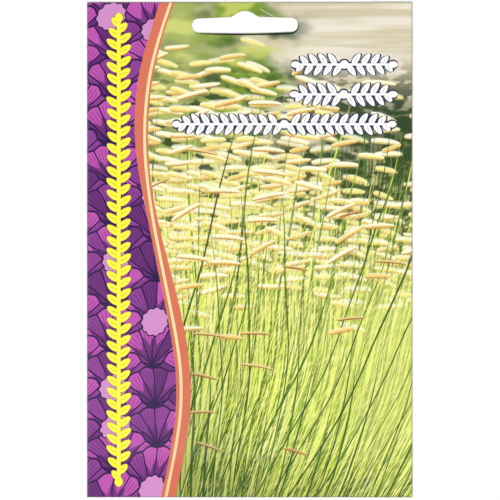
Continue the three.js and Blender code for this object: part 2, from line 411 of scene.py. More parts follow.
@effect(
    "inside", "rib", along=0, across=0, pitch=4, reach=3.6, slant=0.8, leaf_width=2.6, stem_width=0.7,
    half_length=30, first_leaf=-1000, seed=0,
)
def leaf_branch(g):
    """A straight branch with slanting leaves: millimetres inside its edge, and its leaves' ribs."""
    out = abs(g.across)
    side = is_more(g.across, 0)
    slanted = (g.along - out * g.slant) / g.pitch + side * 0.5
    leaf = floor(slanted)
    foot = (leaf + 0.5 - side * 0.5) * g.pitch
    size = draws(leaf, side, g.seed)[0]
    stem_end = g.half_length - g.reach * 0.8
    present = is_less(abs(foot), stem_end + g.pitch * 0.2) * is_more(foot, g.first_leaf)
    end_taper = rises(stem_end - abs(foot), -1, g.pitch * 1.8, 0.6, 1)
    part = out / (g.reach * (0.92 + size * 0.08) * end_taper)
    off = abs((fraction(slanted) - 0.5) * g.pitch + part * (1 - part) * 0.7)
    swell = power(most(part * (1 - part) * 4, 0), 0.45)
    leaf_inside = g.leaf_width * 0.5 * swell * (1.05 - part * 0.2) - off - most(part - 1, 0) * 9
    leaf_inside = leaf_inside - (1 - present) * 9
    tip = (abs(g.along) - stem_end) / (g.reach * 0.8)
    tip_inside = g.leaf_width * 0.46 * power(most(tip * (1 - tip) * 4, 0), 0.6) - out
    stem = least(g.stem_width * 0.5 - out, stem_end + 0.4 - abs(g.along))
    inside = most(most(leaf_inside, stem), tip_inside - most(abs(tip - 0.5) - 0.5, 0) * 9)
    rib = rises(off, 0.05, 0.13, 1, 0) * rises(part, 0.1, 0.2) * rises(part, 0.6, 0.75, 1, 0)
    return inside, rib * present


# How far a fan reaches as a share of its radius, and how deep its petals notch its rim
FAN_REACH, FAN_NOTCH = 0.97, 0.024


@effect(
    "away", "bearing", "tone", "disc", "disc_bearing", across=0, up=0, radius=10, petals=2.5,
    disc_share=0.5, seed=0,
)
def fan_scallops(g):
    """Overlapping ribbed fans in rows, some with a round middle that lies on top.

    Away is the distance from the fan's middle over its radius, and disc the same from the nearest
    middle that has a disc.
    """
    pitch = g.radius * 0.5
    row = floor(g.up / pitch)

    def fan(row_number):
        place = g.across / (g.radius * 2) + remainder(row_number, 2) * 0.5
        side = (fraction(place) - 0.5) * g.radius * 2
        rise = g.up - row_number * pitch
        away = hypotenuse(side, rise) / g.radius
        return away, arctangent(side, rise), draws(floor(place), row_number, g.seed)[0]

    def to_disc(away, tone):
        return away + is_more(tone, g.disc_share) * 9

    rear, front, upper = fan(row), fan(row - 1), fan(row + 1)
    notch = cosine(front[1] * g.petals * FULL_TURN) * FAN_NOTCH
    in_front = is_less(front[0], FAN_REACH - notch)
    away, bearing, tone = [r + (f - r) * in_front for r, f in zip(rear, front)]
    rear_disc, upper_disc = to_disc(rear[0], rear[2]), to_disc(upper[0], upper[2])
    disc_bearing = rear[1] + (upper[1] - rear[1]) * is_less(upper_disc, rear_disc)
    return away, bearing, tone, least(rear_disc, upper_disc), disc_bearing


@effect("height", "mottle", x=0, y=0, fibre=0.35, cloud=9)
def paper_grain(g):
    """Fine fibres and soft unevenness of a sheet, in height and in colour."""
    fibres = noise(g.x, g.y, g.fibre, g.fibre * 0.6, 1.0)
    cloud = noise(g.x, g.y, g.cloud, g.cloud * 1.3, 1.0, 5.0)
    return fibres * 0.25 + cloud, fibres


@effect("dots", x=0, y=0, pitch=0.42)
def print_screen(g):
    """The faint raster that a printed picture shows from close by."""
    across, up = sine(g.x / g.pitch * FULL_TURN), sine(g.y / g.pitch * FULL_TURN)
    return ((across + up) * 0.25 + 0.5,)


# Inks of the ears, from their shade to their light, and of the stalks
PALE = (screen(224, 190, 104), screen(255, 244, 152), screen(255, 255, 228))
STRAW = (screen(202, 146, 74), screen(250, 220, 124), screen(255, 255, 222))
BROWN = (screen(140, 88, 40), screen(206, 152, 70), screen(246, 220, 150))
GREEN = (screen(62, 108, 20), screen(134, 172, 36))
DARK = (screen(14, 56, 12), screen(66, 112, 24))
BRIGHT = (screen(226, 240, 72), screen(255, 255, 164))


@effect("colour", x=0, y=0)
def meadow_picture(g):
    """A sunlit field of nodding ears over tall grass, out of focus towards the top."""
    return (laid(screen(122, 152, 48), meadow_layers(g.x, g.y)),)


def meadow_layers(x, y):
    """The meadow's inks over the green of its trees, the farthest first."""
    # Blades rise from the lower left, and bend upright
    rise = y + 75
    drift = noise(x, y, 50, 70, 1.0, 7.7) - 0.5
    spread = (x + 30 + drift * 8) / (1 + rise * 0.009 / (1 + rise * 0.012))

    # Soft distance: trees on the left, a pale wall on the right, and a glow over the grass
    clouds = noise(x, y, 26, 19, 2.0, 3.1)
    blotches = noise(x, y, 14, 8, 2.0, 11.7)
    bands = noise(x, y, 60, 5, 2.0, 15.1)
    yield rises(clouds + (x - 2) * 0.012, 0.42, 0.58), screen(214, 204, 172)
    yield rises(bands, 0.45, 0.66) * rises(x, 0, 20) * 0.8, screen(248, 240, 224)
    trees = rises(blotches, 0.46, 0.72) * rises(y, -4, 30) * rises(x, 26, 8)
    yield trees * 0.95, screen(44, 84, 34)
    sunlit = rises(blotches, 0.46, 0.3) * rises(y, 20, 40) * rises(x, 24, 4)
    yield sunlit * 0.7, screen(214, 222, 110)
    yield rises(x, -4, -22) * rises(y, 28, 44) * 0.3, screen(240, 236, 160)
    yield rises(y + clouds * 40, 62, 34) * 0.9, screen(250, 238, 142)
    shade = rises(blotches + (x - 20) * 0.015, 0.4, 0.58) * rises(y, 50, 38) * rises(y, -10, 8)
    yield shade * 0.92, screen(56, 78, 42)
    yield rises(y + blotches * 30, 12, -30), screen(206, 226, 72)

    # Streaks of far grass, and dark gaps between them
    fine = noise(spread, y, 0.34, 17, 3.0, 2.3, 0.62)
    broad = noise(spread, y, 0.95, 30, 3.0, 8.9, 0.6)
    yield rises(fine, 0.5, 0.62) * rises(y, 44, 0), screen(255, 254, 172)
    yield rises(broad, 0.5, 0.62) * rises(y, 24, -30) * 0.9, screen(240, 250, 104)
    yield rises(fine, 0.46, 0.36) * rises(y, 38, -16) * 0.85, screen(120, 158, 40)
    foot = rises(y, -44, -76) * 0.09
    yield rises(broad - foot, 0.46, 0.33) * rises(y, 30, -44) * 0.95, screen(22, 74, 14)
    gaps = noise(x, y, 6, 2.6, 2.0, 21.3) + (x - 6) * 0.002
    gaps = rises(gaps, 0.45, 0.59) * rises(y, -30, 10) * rises(y, 62, 44)
    yield gaps * 0.92, screen(36, 64, 24)

    def grass(tones, strength, tops, **settings):
        made = use(stalks, across=spread, up=y, lowest_top=tops[0], highest_top=tops[1], **settings)
        return made.mask * strength, blend(made.tone, *tones)

    def ears(tones, strength, cell, heights, **settings):
        settings.update(cell_width=cell[0], cell_height=cell[1], lowest=heights[0], highest=heights[1])
        made = use(ears_of_grain, across=x, up=y, **settings)
        body = blend(rises(made.light, 0.08, 0.42), tones[0], tones[1])
        body = blend(rises(made.light + made.tone * 0.6, 0.7, 1.05), body, tones[2])
        return made.mask * strength, body

    # Layers of ears and stalks, the farthest first
    yield ears(PALE, 0.85, (10.4, 4.2), (-10, 54), length=8.5, thickness=2.3, softness=0.5, share=0.9, seed=1)
    yield grass(BRIGHT, 0.8, (-10, 48), pitch=1.5, thickness=0.4, lean=-0.05, softness=0.12, seed=2)
    yield grass(GREEN, 0.9, (-20, 60), pitch=1.7, thickness=0.32, lean=0.05, seed=4)
    yield ears(PALE, 0.95, (9.4, 3.8), (-14, 54), length=8, thickness=2, tilt=-0.14, softness=0.25,
               share=0.85, seed=3)
    yield grass(DARK, 0.8, (-30, 64), pitch=3.4, thickness=0.24, lean=-0.06, seed=15)
    yield ears(STRAW, 0.95, (9, 4.4), (-10, 55), length=7.6, thickness=1.75, tilt=0.12, softness=0.14,
               share=0.6, droop=-0.008, seed=5)
    yield grass(GREEN, 0.95, (-52, 40), pitch=2.1, thickness=0.4, lean=-0.1, seed=6)
    yield ears(PALE, 1, (9.6, 5.2), (-8, 57), length=8.2, thickness=1.8, tilt=-0.2, softness=0.08,
               share=0.62, bristle=0.5, seed=7)
    yield grass(BRIGHT, 0.9, (0, 66), pitch=3.3, thickness=0.26, lean=-0.12, seed=16)
    yield grass(DARK, 0.9, (-60, 62), pitch=4.1, thickness=0.29, lean=-0.1, seed=8)
    yield grass(DARK, 0.95, (-70, -16), pitch=2.1, thickness=0.36, lean=-0.16, seed=9)
    yield grass(BRIGHT, 0.9, (-70, -8), pitch=2, thickness=0.4, lean=0.06, seed=10)

    # Short crossing blades near the foot, and haze at the lower right
    strokes = noise(spread - y * 0.35, y, 0.42, 2.4, 3.0, 33.1, 0.65)
    near = rises(y, 34, -6)
    yield rises(strokes, 0.5, 0.64) * near * 0.55, screen(255, 252, 150)
    yield rises(strokes, 0.43, 0.33) * near * 0.4, screen(58, 104, 10)
    haze = rises(x, 4, 46) * rises(y, 2, -24) * rises(y, -74, -50)
    yield haze * 0.4, screen(240, 248, 138)

    # The nearest stalks and ears, and shade at the foot
    yield grass(DARK, 0.9, (-70, -10), pitch=4.9, thickness=0.5, lean=0.1, seed=14)
    yield grass(DARK, 0.95, (-30, 56), pitch=5.7, thickness=0.36, lean=-0.2, seed=17)
    yield grass(DARK, 0.95, (-34, 30), pitch=8.3, thickness=0.42, lean=0.03, seed=18)
    yield ears(STRAW, 1, (11.5, 7), (-20, 60), length=9, thickness=1.6, tilt=0.2, spread=0.7,
               softness=0.06, share=0.42, bristle=0.5, seed=11)
    yield ears(BROWN, 1, (14, 11), (-66, 30), length=9, thickness=0.9, spread=1.1, softness=0.06,
               share=0.3, bristle=0.4, seed=12)
    depth = rises(x, 12, -20) * rises(y, -10, -34) * 0.16 + rises(y + x * 0.35, -50, -74) * 0.26
    yield depth, screen(20, 50, 0)


# Finishes, in millimetres from the packet's middle

SHEET = SimpleNamespace(half_width=49, half_height=74.6)


def new_material(name):
    """A material with its tree, its shader and the sheet's X, Y and Z in millimetres."""
    material = bpy.data.materials.new(name)
    material.use_nodes = True
    tree = material.node_tree
    place = result_of(tree, "ShaderNodeTexCoord", {}, "Object")
    inputs = {0: place, "Scale": 1 / MM}
    x, y, z = split(result_of(tree, "ShaderNodeVectorMath", inputs, operation="SCALE"))
    shader = tree.nodes["Principled BSDF"]
    return SimpleNamespace(material=material, tree=tree, shader=shader, x=x, y=y, z=z)


def finished(made, ink, roughness, height=None, specular=0.5):
    """Feeds the shader its colour, gloss and relief in millimetres, and gives the material."""
    inputs = {"Base Color": ink, "Roughness": roughness, "Specular IOR Level": specular}
    if height:
        relief = {"Strength": 1, "Distance": MM, "Height": height}
        inputs["Normal"] = result_of(made.tree, "ShaderNodeBump", relief)
    for key, value in inputs.items():
        feed(made.tree, made.shader.inputs[key], value)
    return made.material


# The waved stripe between the fans and the meadow
STRIPE = SimpleNamespace(
    middle=-28.35, swing=6.02, second_swing=0.286, half_wave=80.5, leftmost_at=38,
    flare=2.13, flare_from=48, flare_run=26.6, core_width=1.05, soft=0.1,
)


def stripe_left_edge(y):
    turn = (y - STRIPE.leftmost_at) * (math.pi / STRIPE.half_wave)
    flare = power(most((y - STRIPE.flare_from) / STRIPE.flare_run, 0), 2) * STRIPE.flare
    return STRIPE.middle - cosine(turn) * STRIPE.swing - cosine(turn * 3) * STRIPE.second_swing + flare


FANS = SimpleNamespace(radius=12.5, petals=2.3, vein=0.11, petal_line=0.3, rim_line=0.6, disc=3.9)


def fan_layers(across, up, inks):
    """Fans of veined petals over their magenta, some of them with lilac middles."""
    wander = noise(across, up, 22, 22, 1.0, 4.4) - 0.5
    fans = use(fan_scallops, across=across + wander * 4 + 3.5, up=up + wander * 3 - across * 0.1,
               radius=FANS.radius, petals=FANS.petals, disc_share=0.3, seed=5)
    away_mm = fans.away * FANS.radius
    petals = fans.bearing * FANS.petals
    first, second, third = draws(floor(petals), floor(fans.tone * 91), 2.0)
    yield rises(first, 0.55, 0.57), inks.rib_mid
    yield rises(second, 0.76, 0.78), inks.rib_dark
    shadow = fans.away + abs(fraction(petals) - 0.4 - third * 0.2) * -0.5 + first * 0.2
    yield rises(shadow, 0.5, 0.47) * 0.85, inks.rib_dark

    def from_line(lines_per_radian):
        place = fans.bearing * lines_per_radian
        return (0.5 - abs(fraction(place) - 0.5)) * away_mm / lines_per_radian

    veins = rises(from_line(FANS.petals * 4), FANS.vein, FANS.vein * 0.4) * rises(fans.away, 0.9, 0.82)
    yield veins * rises(third, 0.25, 0.3) * 0.85, inks.outline
    yield rises(from_line(FANS.petals), FANS.petal_line, FANS.petal_line * 0.5), inks.outline
    rim = away_mm - FANS.radius * (FAN_REACH - cosine(petals * FULL_TURN) * FAN_NOTCH) + FANS.rim_line
    yield rises(rim, -0.1, 0.1), inks.outline
    disc_edge = fans.disc * FANS.radius - (FANS.disc + sine(fans.disc_bearing * 11) * 0.2)
    yield rises(disc_edge, 0.46, 0.3), inks.outline
    yield rises(disc_edge, 0.06, -0.06), inks.disc


def stripe_layers(x, y, inks):
    """A coral stripe with a cream line in it, thicker on its left above and on its right below."""
    from_edge = x - stripe_left_edge(y)
    left = rises(y, 2, 46, 0.9, 2.7)
    right = rises(y, 22, -24, 0.5, 2.35)
    full = left + STRIPE.core_width + right
    soft = STRIPE.soft
    coral = blend(rises(y, 20, -60) * 0.25, inks.stripe, screen(206, 96, 70))
    yield rises(from_edge, -soft, soft) * rises(from_edge - full, soft, -soft), coral
    from_core = abs(from_edge - left - STRIPE.core_width / 2) - STRIPE.core_width / 2
    core = blend(rises(y, -10, -70) * 0.55, inks.stripe_core, screen(255, 196, 140))
    yield rises(from_core, soft, -soft), core
    yield rises(abs(from_core), 0.16, 0.05) * 0.6, screen(196, 84, 62)


def leaf_layers(branch, fill, line, line_width):
    """A leaf branch in one ink with a line round it."""
    yield rises(branch.inside, -line_width - 0.05, -line_width + 0.05), line
    yield rises(branch.inside, -0.06, 0.06), fill
    yield branch.rib * rises(branch.inside, 0.1, 0.3) * 0.55, line


# The lying sprigs: middle X, middle Y, half length and half height
SPRIGS = ((28.5, 55.8, 16.1, 3.5), (28.3, 46.8, 16.3, 3.7), (10.4, 37.8, 33.8, 3.3))
BERRY_RADIUS = 1.3


def double_sprig(off, up, half_length, half_height, seed):
    """A lying sprig of two halves that meet at a berry, from its middle."""
    along = abs(off)
    branch = use(leaf_branch, along=along, across=up, pitch=2.9, reach=half_height, slant=0.5,
                 leaf_width=2.15, half_length=half_length, first_leaf=1.2, seed=seed)
    branch.inside = most(branch.inside, BERRY_RADIUS - hypotenuse(along, up))
    return branch


def sprig_layers(x, y, inks):
    for seed, (middle_x, middle_y, *half_sizes) in enumerate(SPRIGS, 20):
        branch = double_sprig(x - middle_x, y - middle_y, *half_sizes, seed)
        yield from leaf_layers(branch, inks.sprig, inks.sprig_line, 0.48)


GARLAND = SimpleNamespace(x=-39.45, half_length=71.4, reach=3.75)


def garland_layers(x, y, inks):
    branch = use(leaf_branch, along=y, across=x - GARLAND.x, pitch=3.5, reach=GARLAND.reach, slant=0.5,
                 leaf_width=2.7, stem_width=1.2, half_length=GARLAND.half_length, seed=31)
    return leaf_layers(branch, inks.garland, screen(120, 30, 90), 0.16)


# A light scratch beside the slot: a point on it, the way across it, and its middle and half length
SCRATCH = SimpleNamespace(x=3.1, y=72.5, across=(0.475, 0.88), middle=5.2, half_length=2.4)
# Painted shadow under the slot's lower edge: the slot's middle, its depth there, its bow and where its ends
# round off
SLOT_SHADOW = SimpleNamespace(x=-1.45, y=67.65, depth=2.45, bow=0.0016, half_length=13.7)


def surface_layers(x, y):
    """The raster, a scratch, painted shadow under the slot and painted shade at the edges, all over the
    front.
    """
    yield use(print_screen, x=x, y=y, pitch=0.7).dots * 0.07, screen(0, 0, 0)
    across = abs((x - SCRATCH.x) * SCRATCH.across[0] + (y - SCRATCH.y) * SCRATCH.across[1])
    ends = rises(abs(x - SCRATCH.middle), SCRATCH.half_length, SCRATCH.half_length - 0.6)
    yield rises(across, 0.16, 0.05) * ends * 0.6, screen(240, 240, 225)
    # Painted shadow: a near-black line just below the slot's lower edge, standing in for the shade of the cut
    # edge
    off, down = x - SLOT_SHADOW.x, SLOT_SHADOW.y - y
    half_depth = SLOT_SHADOW.depth - off * off * SLOT_SHADOW.bow
    beyond = hypotenuse(most(abs(off) - SLOT_SHADOW.half_length, 0), down) - half_depth
    slot_shadow = rises(beyond, -0.02, 0.1) * rises(beyond, 0.72, 0.46) * rises(down + off * 0.1, 0.4, 2.0)
    yield slot_shadow * 0.97, screen(22, 28, 26)
    # Painted shade along the sheet's edges: the print greys within half a millimetre of them
    rim = least(SHEET.half_width - abs(x), SHEET.half_height - abs(y))
    yield rises(rim, 0.5, 0.2) * 0.45, screen(110, 106, 104)


def front_print(inks):
    """Gloss coated, printed front."""
    made = new_material("front_print")
    x, y = made.x, made.y
    picture = laid(use(meadow_picture, x=x, y=y).colour, sprig_layers(x, y, inks))
    fans = laid(inks.rib_light, fan_layers(x, y, inks))
    fans = laid(fans, garland_layers(x, y, inks))
    ink = blend(rises(x - stripe_left_edge(y), -STRIPE.soft, STRIPE.soft), fans, picture)
    ink = laid(ink, stripe_layers(x, y, inks))
    ink = laid(ink, surface_layers(x, y))
    grain = use(paper_grain, x=x, y=y, fibre=0.5, cloud=11)
    return finished(made, ink, 0.3 + grain.mottle * 0.08, grain.height * 0.06, 0.4)


def inside_box(x, y, middle, half, corner):
    """Millimetres inside the edge of an upright box with round corners."""
    over_x = abs(x - middle[0]) - (half[0] - corner)
    over_y = abs(y - middle[1]) - (half[1] - corner)
    out = hypotenuse(most(over_x, 0), most(over_y, 0))
    return corner - out - least(most(over_x, over_y), 0)


def lined(inside, fill, line, width):
    """A filled shape with a line of that width along the inside of its edge."""
    yield rises(inside, -0.06, 0.06), line
    yield rises(inside, width - 0.06, width + 0.06), fill


def ruled(y, pitch, inside, margin):
    """Thin level lines at that pitch that end at a margin inside a box."""
    line = rises(abs(fraction(y / pitch) - 0.5) * pitch, 0.2, 0.1)
    return line * rises(inside, margin - 0.1, margin + 0.1)


def sun_mark(off, up):
    away = hypotenuse(off, up)
    rays = rises(cosine(arctangent(off, up) * 10), 0.1, 0.5) * rises(abs(away - 3.9), 0.9, 0.75)
    return most(rises(away, 2.4, 2.25), rays)


def drop_mark(off, up):
    part = (up + 1.2) / 5.2
    tip = 2.4 * power(most(1 - part, 0), 0.9) - 0.1 - abs(off)
    bowl = 2.3 - hypotenuse(off, up + 1.2)
    return rises(most(least(tip, part * 9), bowl), -0.08, 0.08)


def sprout_mark(off, up):
    stem = least(0.22 - abs(off), 3.1 - abs(up + 0.4))
    rise = up - 0.4 - abs(off) * 0.75
    part = abs(off) / 3.2
    leaf = power(most(part * (1 - part) * 4, 0), 0.6) * 1.05 - 0.1 - abs(rise)
    soil = least(0.28 - abs(up + 3.4), 3.6 - abs(off))
    return rises(most(most(stem, leaf), soil), -0.06, 0.06)


# The round signs for sun, water and a sprout: middle X, ground and mark
SIGNS = (
    (-26, screen(255, 226, 110), sun_mark),
    (-3, screen(176, 214, 236), drop_mark),
    (20, screen(206, 226, 150), sprout_mark),
)
SIGN_Y, SIGN_RADIUS = -16.5, 6.4


def sign_layers(x, y, line):
    for middle, ground, mark in SIGNS:
        off, up = x - middle, y - SIGN_Y
        yield from lined(SIGN_RADIUS - hypotenuse(off, up), ground, line, 0.5)
        yield mark(off, up), line


# The month boxes: their middle and left end, their pitch, and one box's half size and corner
YEAR = SimpleNamespace(x=-3, y=3.4, left=-42, width=6.5, height=6.2, half=(2.95, 2.8), corner=0.6)


def year_layers(x, y, paper, line):
    """Two rows of twelve boxes, with the months to sow and to flower filled in."""
    place, level = (x - YEAR.left) / YEAR.width, (y - YEAR.y) / YEAR.height + 1
    month, row = floor(place), floor(level)
    box_x, box_y = (fraction(place) - 0.5) * YEAR.width, (fraction(level) - 0.5) * YEAR.height
    inside = inside_box(box_x, box_y, (0, 0), YEAR.half, YEAR.corner)
    ends = least(12 * YEAR.width - abs(x - YEAR.x) * 2, 2 * YEAR.height - abs(y - YEAR.y) * 2)
    upper = is_more(row, 0.5)
    sown = is_less(abs(month - 3.5), 1.2) * upper
    flowers = is_less(abs(month - 7), 1.2) * (1 - upper)
    fill = laid(paper, ((sown, screen(164, 196, 84)), (flowers, screen(214, 150, 206))))
    return lined(least(inside, ends), fill, line, 0.25)


# Boxes on the back as seen from behind: middle, half size and corner
RULED_PANEL = ((-3, 26.5), (40, 14.5), 2.4)
EMPTY_BOX = ((-22.5, -44), (20, 14), 1.2)
NOTES = ((20, -44), (18, 14), 0.1)
# Where the stripe begins on the back, the middle of its cream line, and where the fans begin
WRAP = SimpleNamespace(stripe=42, core=43, fans=44.2)


def back_layers(x, y, mottle, inks):
    """A sprig, ruled panels, month boxes, signs and the fans round the fold, over cream."""
    seen_x = -x
    line, paper = screen(120, 62, 124), screen(255, 253, 246)
    yield mottle * 0.35, screen(244, 236, 210)
    yield rises(y + noise(x, y, 40, 12, 2.0, 3.0) * 14, -46, -66) * 0.8, screen(204, 222, 130)
    sprig = double_sprig(seen_x + 3, y - 46.5, 36, 3.2, 41)
    yield from leaf_layers(sprig, inks.rib_mid, inks.outline, 0.16)
    panel = inside_box(seen_x, y, *RULED_PANEL)
    yield from lined(panel, paper, inks.stripe, 0.5)
    yield ruled(y, 4.2, panel, 2.7) * 0.55, line
    yield from year_layers(seen_x, y, paper, line)
    yield from sign_layers(seen_x, y, line)
    yield from lined(inside_box(seen_x, y, *EMPTY_BOX), paper, line, 0.3)
    yield ruled(y, 4.7, inside_box(seen_x, y, *NOTES), 0) * 0.6, line
    fans = laid(inks.rib_light, fan_layers(seen_x - 2 * SHEET.half_width, y, inks))
    yield rises(seen_x, WRAP.stripe - 0.1, WRAP.stripe), inks.stripe
    yield rises(abs(seen_x - WRAP.core), 0.5, 0.4), inks.stripe_core
    yield rises(seen_x, WRAP.fans - 0.1, WRAP.fans), fans
    near_fold = rises(abs(x), SHEET.half_width - 0.7, SHEET.half_width - 0.05)
    yield near_fold * rises(noise(x, y, 0.9, 2.2, 3.0, 6.6), 0.44, 0.6) * 0.5, screen(248, 246, 240)


def back_print(inks):
    """Pale printed back."""
    made = new_material("back_print")
    grain = use(paper_grain, x=made.x, y=made.y, fibre=0.5, cloud=11)
    ink = laid(screen(252, 247, 228), back_layers(made.x, made.y, grain.mottle, inks))
    return finished(made, ink, 0.34 + grain.mottle * 0.1, grain.height * 0.06, 0.4)


def plain_paper(name, tint, shade, rough, fibre):
    """Uncoated paper: the sheet's inside and its cut edges."""
    made = new_material(name)
    across, up = made.x + made.z * 3.1, made.y + made.z * 2.3
    grain = use(paper_grain, x=across, y=up, fibre=fibre, cloud=7)
    ink = blend(grain.mottle, tint, shade)
    return finished(made, ink, rough + grain.mottle * 0.1, grain.height * 0.12)


def dried_glue():
    """Hard clear adhesive with small bubbles."""
    made = new_material("dried_glue")
    bubbles = noise(made.x, made.y, 0.6, 0.6, 3.0, 1.7)
    smear = noise(made.x, made.y, 6, 1.4, 2.0, 9.0)
    ink = blend(rises(smear, 0.3, 0.7), screen(236, 231, 214), screen(222, 212, 184))
    return finished(made, ink, 0.28 + bubbles * 0.25, bubbles * 0.05)


def seed_straw():
    """Dry straw, streaked along each seed and browner in places."""
    made = new_material("seed_straw")
    streak = noise(made.x + made.z * 2, made.y - made.z, 0.25, 0.25, 3.0, 2.2)
    patch = noise(made.x, made.y, 2.6, 2.6, 2.0, 6.1)
    ink = blend(rises(streak, 0.35, 0.7), screen(150, 112, 62), screen(214, 184, 122))
    ink = blend(rises(patch, 0.5, 0.75) * 0.6, ink, screen(128, 84, 50))
    return finished(made, ink, 0.66 + streak * 0.2, streak * 0.08)


def pale_floor():
    """Matt white board."""
    made = new_material("pale_floor")
    cloud = noise(made.x, made.y, 260, 260, 1.0)
    return finished(made, blend(cloud, screen(251, 251, 251), screen(254, 254, 254)), 0.9, specular=0.1)


# Meshes


def new_mesh(name, points, faces):
    mesh = bpy.data.meshes.new(name)
    mesh.from_pydata(points, [], faces)
    return mesh


def add_object(name, data):
    piece = bpy.data.objects.new(name, data)
    bpy.context.scene.collection.objects.link(piece)
    return piece


def made_plain(piece):
    """Replaces a piece's mesh by its evaluated one and drops its modifiers."""
    graph = bpy.context.evaluated_depsgraph_get()
    mesh = bpy.data.meshes.new_from_object(piece.evaluated_get(graph), depsgraph=graph)
    piece.modifiers.clear()
    old = piece.data
    piece.data = mesh
    bpy.data.meshes.remove(old)
    mesh.name = piece.name


# The folded sheet

# Mesh cells across the glue flap, the climb over it and the back panel
FLAP_CELLS, RAMP_CELLS, BACK_CELLS = 7, 4, 33
# Edges of the sheet are sharp where faces meet at more degrees than this
SHARP_OVER = 34


def sheet_places(sizes):
    """Places that follow from the driving sizes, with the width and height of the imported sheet."""
    _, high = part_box("paper_sheet")
    pitch = sizes.paper + sizes.glue
    outer = sizes.paper + sizes.glue / 2
    flap_edge = high.x - sizes.flap_width
    return SimpleNamespace(
        pitch=pitch,
        fold_outer=outer,
        fold_inner=sizes.glue / 2,
        right_fold=(high.x - outer, pitch + outer),
        left_fold=(outer - high.x, outer),
        flap_edge=flap_edge,
        seam_edge=high.x - sizes.seam_inset,
        ramp_top=flap_edge - sizes.flap_gap,
        ramp_foot=flap_edge - sizes.flap_gap - sizes.ramp_width,
        top=high.y,
        bottom=-high.y,
        pouch_top=high.y - sizes.header_height,
        pouch_bottom=sizes.foot_height - high.y,
    )


# The soft dents: how many, the area they lie in and their least and greatest reach, in metres
DENTS = SimpleNamespace(
    count=26, seed=41, half_width=38 * MM, lowest=-58 * MM, highest=40 * MM, reach=(5 * MM, 13 * MM)
)


def belly_height(sizes, places, x, y):
    """Height of the front over its closed state, with soft creases and a few dents."""
    span = places.pouch_top - places.pouch_bottom
    along = np.clip((y - places.pouch_bottom) / span, 0, 1)
    across = np.cos(np.pi * x / (2 * places.right_fold[0]))
    rise = across * np.sin(np.pi * along**sizes.belly_skew)
    from_band = np.maximum(np.minimum(y - places.pouch_bottom, places.pouch_top - y), 0)
    crease = 1 - np.exp(-((from_band / sizes.crease_width) ** 2))
    rng = np.random.default_rng(DENTS.seed)
    dents = np.zeros_like(rise)
    for _ in range(DENTS.count):
        centre_x = rng.uniform(-DENTS.half_width, DENTS.half_width)
        centre_y = rng.uniform(DENTS.lowest, DENTS.highest)
        reach_x, reach_y = rng.uniform(*DENTS.reach, 2)
        away = ((x - centre_x) / reach_x) ** 2 + ((y - centre_y) / reach_y) ** 2
        dents += rng.uniform(-1, 0.8) * np.exp(-away)
    return sizes.belly * rise * crease + sizes.dent_height * dents * np.sqrt(np.maximum(rise, 0)) * crease


def front_places(sizes, places):
    """X places across the front, from the right fold to the left one."""
    left = places.left_fold[0]
    over_flap = np.linspace(places.right_fold[0], places.ramp_top, round(sizes.flap_width / sizes.cell))
    ramp = np.linspace(places.ramp_top, places.ramp_foot, RAMP_CELLS + 1)[1:-1]
    pouch_cells = round((places.ramp_foot - left) / sizes.cell)
    return np.concatenate([over_flap, ramp, np.linspace(places.ramp_foot, left, pouch_cells + 1)])


def sheet_stations(sizes, places, rows):
    """Stations from the flap to the seam: printed X and Z, plain X and Z, and the printed finish."""

    def round_fold(middle, start, finishes):
        angles = np.linspace(start, start + math.pi, sizes.fold_steps + 1)[1:-1]
        printed, plain = [
            (middle[0] + radius * np.cos(angles), middle[1] + radius * np.sin(angles))
            for radius in (places.fold_outer, places.fold_inner)
        ]
        for i, station in enumerate(zip(*printed, *plain)):
            yield (*station, finishes[i >= (sizes.fold_steps - 1) / 2])

    for x in np.linspace(places.flap_edge, places.right_fold[0], FLAP_CELLS + 1):
        yield x, places.pitch, x, places.pitch + sizes.paper, BACK
    yield from round_fold(places.right_fold, -math.pi / 2, (BACK, FRONT))
    for x in front_places(sizes, places):
        climb = np.clip((x - places.ramp_foot) / (places.ramp_top - places.ramp_foot), 0, 1)
        climb = climb * climb * (3 - 2 * climb)
        z = places.pitch * (1 + climb) + belly_height(sizes, places, x, rows)
        yield x, z + sizes.paper, x, z, FRONT
    yield from round_fold(places.left_fold, math.pi / 2, (FRONT, BACK))
    for x in np.linspace(places.left_fold[0], places.seam_edge, BACK_CELLS + 1):
        yield x, 0, x, sizes.paper, BACK


def sheet_mesh(sizes, places):
    """The closed folded sheet, before its slot is punched."""
    row_count = round((places.top - places.bottom) / sizes.cell) + 1
    rows = np.linspace(places.bottom, places.top, row_count)
    *printed, finish = [list(values) for values in zip(*sheet_stations(sizes, places, rows))]
    points = [
        np.stack(np.broadcast_arrays(x, rows, z), axis=-1)
        for xs, zs in (printed[:2], printed[2:])
        for x, z in zip(xs, zs)
    ]
    outer = np.arange(len(finish) * row_count).reshape(len(finish), row_count)
    inner = outer + outer.size

    def quads(*corners):
        return np.stack(corners, axis=-1).reshape(-1, 4)

    parts = [
        (quads(outer[:-1, :-1], outer[:-1, 1:], outer[1:, 1:], outer[1:, :-1]),
         np.repeat(finish[:-1], row_count - 1)),
        (quads(inner[:-1, :-1], inner[1:, :-1], inner[1:, 1:], inner[:-1, 1:]), INSIDE),
        (quads(outer[0, :-1], inner[0, :-1], inner[0, 1:], outer[0, 1:]), CUT),
        (quads(outer[-1, :-1], outer[-1, 1:], inner[-1, 1:], inner[-1, :-1]), CUT),
        (quads(outer[:-1, 0], outer[1:, 0], inner[1:, 0], inner[:-1, 0]), CUT),
        (quads(outer[:-1, -1], inner[:-1, -1], inner[1:, -1], outer[1:, -1]), CUT),
    ]
    faces = np.concatenate([quad for quad, _ in parts])
    mesh = new_mesh("packet_sheet", np.concatenate(points).tolist(), faces.tolist())
    slots = np.concatenate([np.zeros(len(quad), int) + slot for quad, slot in parts])
    mesh.polygons.foreach_set("material_index", slots)
    mesh.update()
    return mesh


